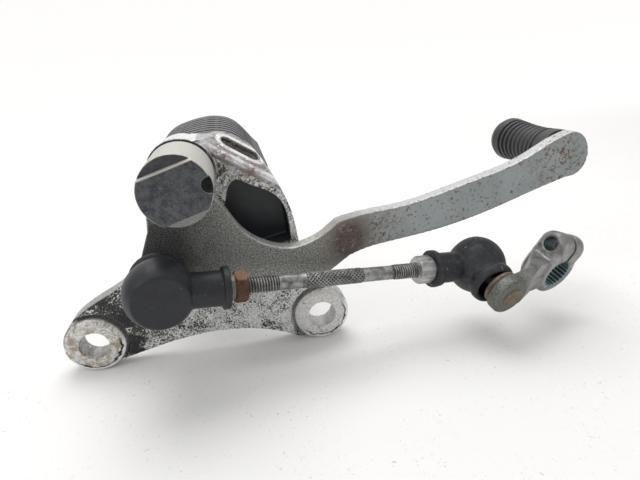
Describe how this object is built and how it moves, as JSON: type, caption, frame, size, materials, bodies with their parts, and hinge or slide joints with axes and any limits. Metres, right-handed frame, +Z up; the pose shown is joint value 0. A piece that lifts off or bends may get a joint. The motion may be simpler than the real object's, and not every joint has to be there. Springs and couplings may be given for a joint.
{
  "type": "gear shift lever with footrest bracket",
  "caption": "Left motorcycle footrest bracket with a joggled gear shift lever, a knurled link rod with booted ball joints, a splined shift arm and a folding ribbed footrest.",
  "frame": {"origin": "midway between the two mounting holes, in the plane of their boss faces", "axes": "+X forward along the line of the two mounting holes, +Y outboard along the hole and pivot axes, +Z up"},
  "size_m": [0.2166, 0.145, 0.088],
  "materials": {
    "cast_aluminium": "rough cast with polished rims",
    "grey_steel": "worn satin grey with rust",
    "zinc_steel": "dull zinc plate",
    "bare_steel": "turned",
    "rusted_steel": "rusted",
    "forged_zinc": "forged, zinc plated",
    "bearing_brass": "machined",
    "seat_plastic": "smooth",
    "boot_rubber": "satin",
    "black_rubber": "ribbed, satin"
  },
  "bodies": {
    "bracket": {"bracket_casting": "cast_aluminium", "pivot_bush": "bearing_brass", "thrust_washer": "zinc_steel", "end_washer": "zinc_steel", "footpeg_hinge_pin": "zinc_steel", "footpeg_clip": "bare_steel"},
    "lever": {"lever_plate": "grey_steel", "lever_hub": "grey_steel", "hub_weld": "grey_steel", "ball_stud_a": "zinc_steel", "toe_peg_pin": "bare_steel", "toe_peg_rubber": "black_rubber", "retaining_clip": "bare_steel"},
    "footrest": {"footpeg_bar": "cast_aluminium", "footpeg_rubber": "black_rubber", "footpeg_screws": "zinc_steel"},
    "link": {"rod_end_a": "zinc_steel", "rod_end_b": "zinc_steel", "boot_a": "boot_rubber", "boot_b": "boot_rubber", "lock_nut_a": "rusted_steel", "lock_nut_b": "zinc_steel"},
    "adjuster": {"link_rod": "zinc_steel"},
    "seat_b": {"ball_seat_b": "seat_plastic"},
    "arm": {"shift_arm": "forged_zinc", "ball_stud_b": "zinc_steel"},
    "seat_a": {"ball_seat_a": "seat_plastic"}
  },
  "joints": [
    {"name": "lever_pivot", "type": "hinge", "parent": "bracket", "child": "lever", "pos_m": [-0.0029, -0.007, 0.0642], "axis": [0, 1, 0], "range_deg": [-7, 7]},
    {"name": "footrest_fold", "type": "hinge", "parent": "bracket", "child": "footrest", "pos_m": [0.0146, 0.029, 0.0602], "axis": [1, 0, 0], "range_deg": [0, 70]},
    {"name": "link_swing", "type": "hinge", "parent": "lever", "child": "seat_a", "pos_m": [-0.0129, -0.025, 0.0307], "axis": [0, 1, 0], "range_deg": [-2, 15]},
    {"name": "link_tilt", "type": "hinge", "parent": "seat_a", "child": "link", "pos_m": [-0.0129, -0.025, 0.0307], "axis": [0.1184, 0, 0.993], "range_deg": [-4, 4]},
    {"name": "rod_turn", "type": "hinge", "parent": "link", "child": "adjuster", "pos_m": [-0.0129, -0.025, 0.0307], "axis": [0.9799, 0.1616, -0.1168], "range_deg": [-180, 180]},
    {"name": "arm_tilt", "type": "hinge", "parent": "link", "child": "seat_b", "pos_m": [0.11057, -0.00464, 0.01598], "axis": [-0.1596, 0.2838, -0.9455], "range_deg": [-4, 4]},
    {"name": "arm_swing", "type": "hinge", "parent": "seat_b", "child": "arm", "pos_m": [0.11057, -0.00464, 0.01598], "axis": [0.2639, -0.9107, -0.3179], "range_deg": [-30, 5]}
  ]
}
